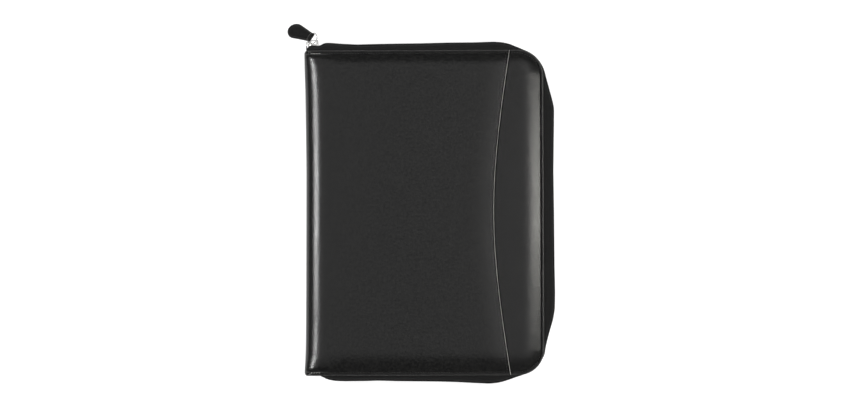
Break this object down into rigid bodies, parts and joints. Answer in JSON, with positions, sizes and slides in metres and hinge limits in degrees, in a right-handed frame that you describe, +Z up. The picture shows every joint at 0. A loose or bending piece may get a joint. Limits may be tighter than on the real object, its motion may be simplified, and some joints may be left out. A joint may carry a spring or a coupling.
{
  "type": "leather document case",
  "caption": "Flat zip-round leather document case, closed, with padded covers, a curved outside pocket and a slider with a leather pull tab.",
  "frame": {"origin": "middle of the flat of the back cover, on which the closed case lies", "axes": "+X from the spine to the fore edge, +Y from the tail to the head where the slider is, +Z up out of the front cover"},
  "size_m": [0.2713, 0.3686, 0.035],
  "materials": {
    "cover_leather": "smooth, softly glossy black",
    "tab_leather": "black, satin, with rubbed edges",
    "zip_tape": "matt black woven tape",
    "zip_coil": "black nylon coil",
    "nickel": "bright nickel plate"
  },
  "bodies": {
    "root": {"leather_wrap": "cover_leather", "front_cover": "cover_leather", "zip_tape_front": "zip_tape", "zip_tape_back": "zip_tape", "zip_chain": "zip_coil", "zip_head_end": "zip_tape", "zip_tail_end": "zip_tape", "zip_slider": "nickel", "pull_loop": "nickel", "pull_tab": "tab_leather"}
  },
  "joints": []
}
